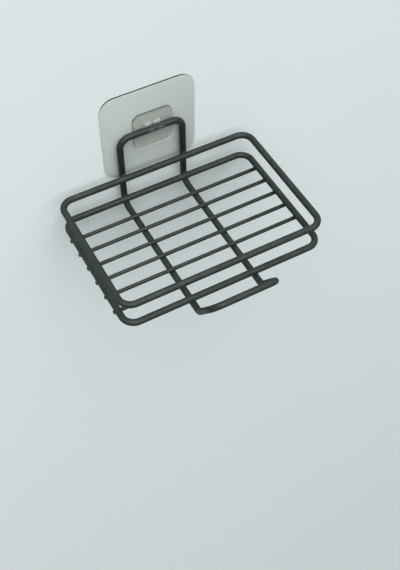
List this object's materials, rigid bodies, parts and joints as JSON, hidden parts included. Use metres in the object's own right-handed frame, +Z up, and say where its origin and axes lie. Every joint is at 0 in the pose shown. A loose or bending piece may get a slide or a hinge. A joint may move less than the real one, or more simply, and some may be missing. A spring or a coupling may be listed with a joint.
{
  "type": "adhesive soap dish",
  "caption": "Wire soap dish rack with a front hook, hung by its top bar on a clear clawed plate that is held to the wall by an adhesive film.",
  "frame": {"origin": "centre of the adhesive's back face, which lies on the wall", "axes": "+Z up, +X to the right as the dish is seen from the room, +Y into the wall"},
  "size_m": [0.13, 0.1192, 0.0815],
  "materials": {
    "black_coating": "matt black powder coat on steel wire",
    "clear_film": "translucent grey film, satin",
    "clear_plate": "clear moulded plastic",
    "adhesive": "milky adhesive layer"
  },
  "bodies": {
    "patch": {"adhesive_layer": "adhesive", "wall_film": "clear_film", "hook_plate": "clear_plate"},
    "rack": {"upper_ring": "black_coating", "lower_ring": "black_coating", "support_wire": "black_coating", "slat_1": "black_coating", "slat_2": "black_coating", "slat_3": "black_coating", "slat_4": "black_coating", "slat_5": "black_coating", "slat_6": "black_coating"}
  },
  "joints": [
    {"name": "rack_lift", "type": "slide", "parent": "patch", "child": "rack", "axis": [0, 0, 1], "range_m": [0, 0.01]}
  ]
}
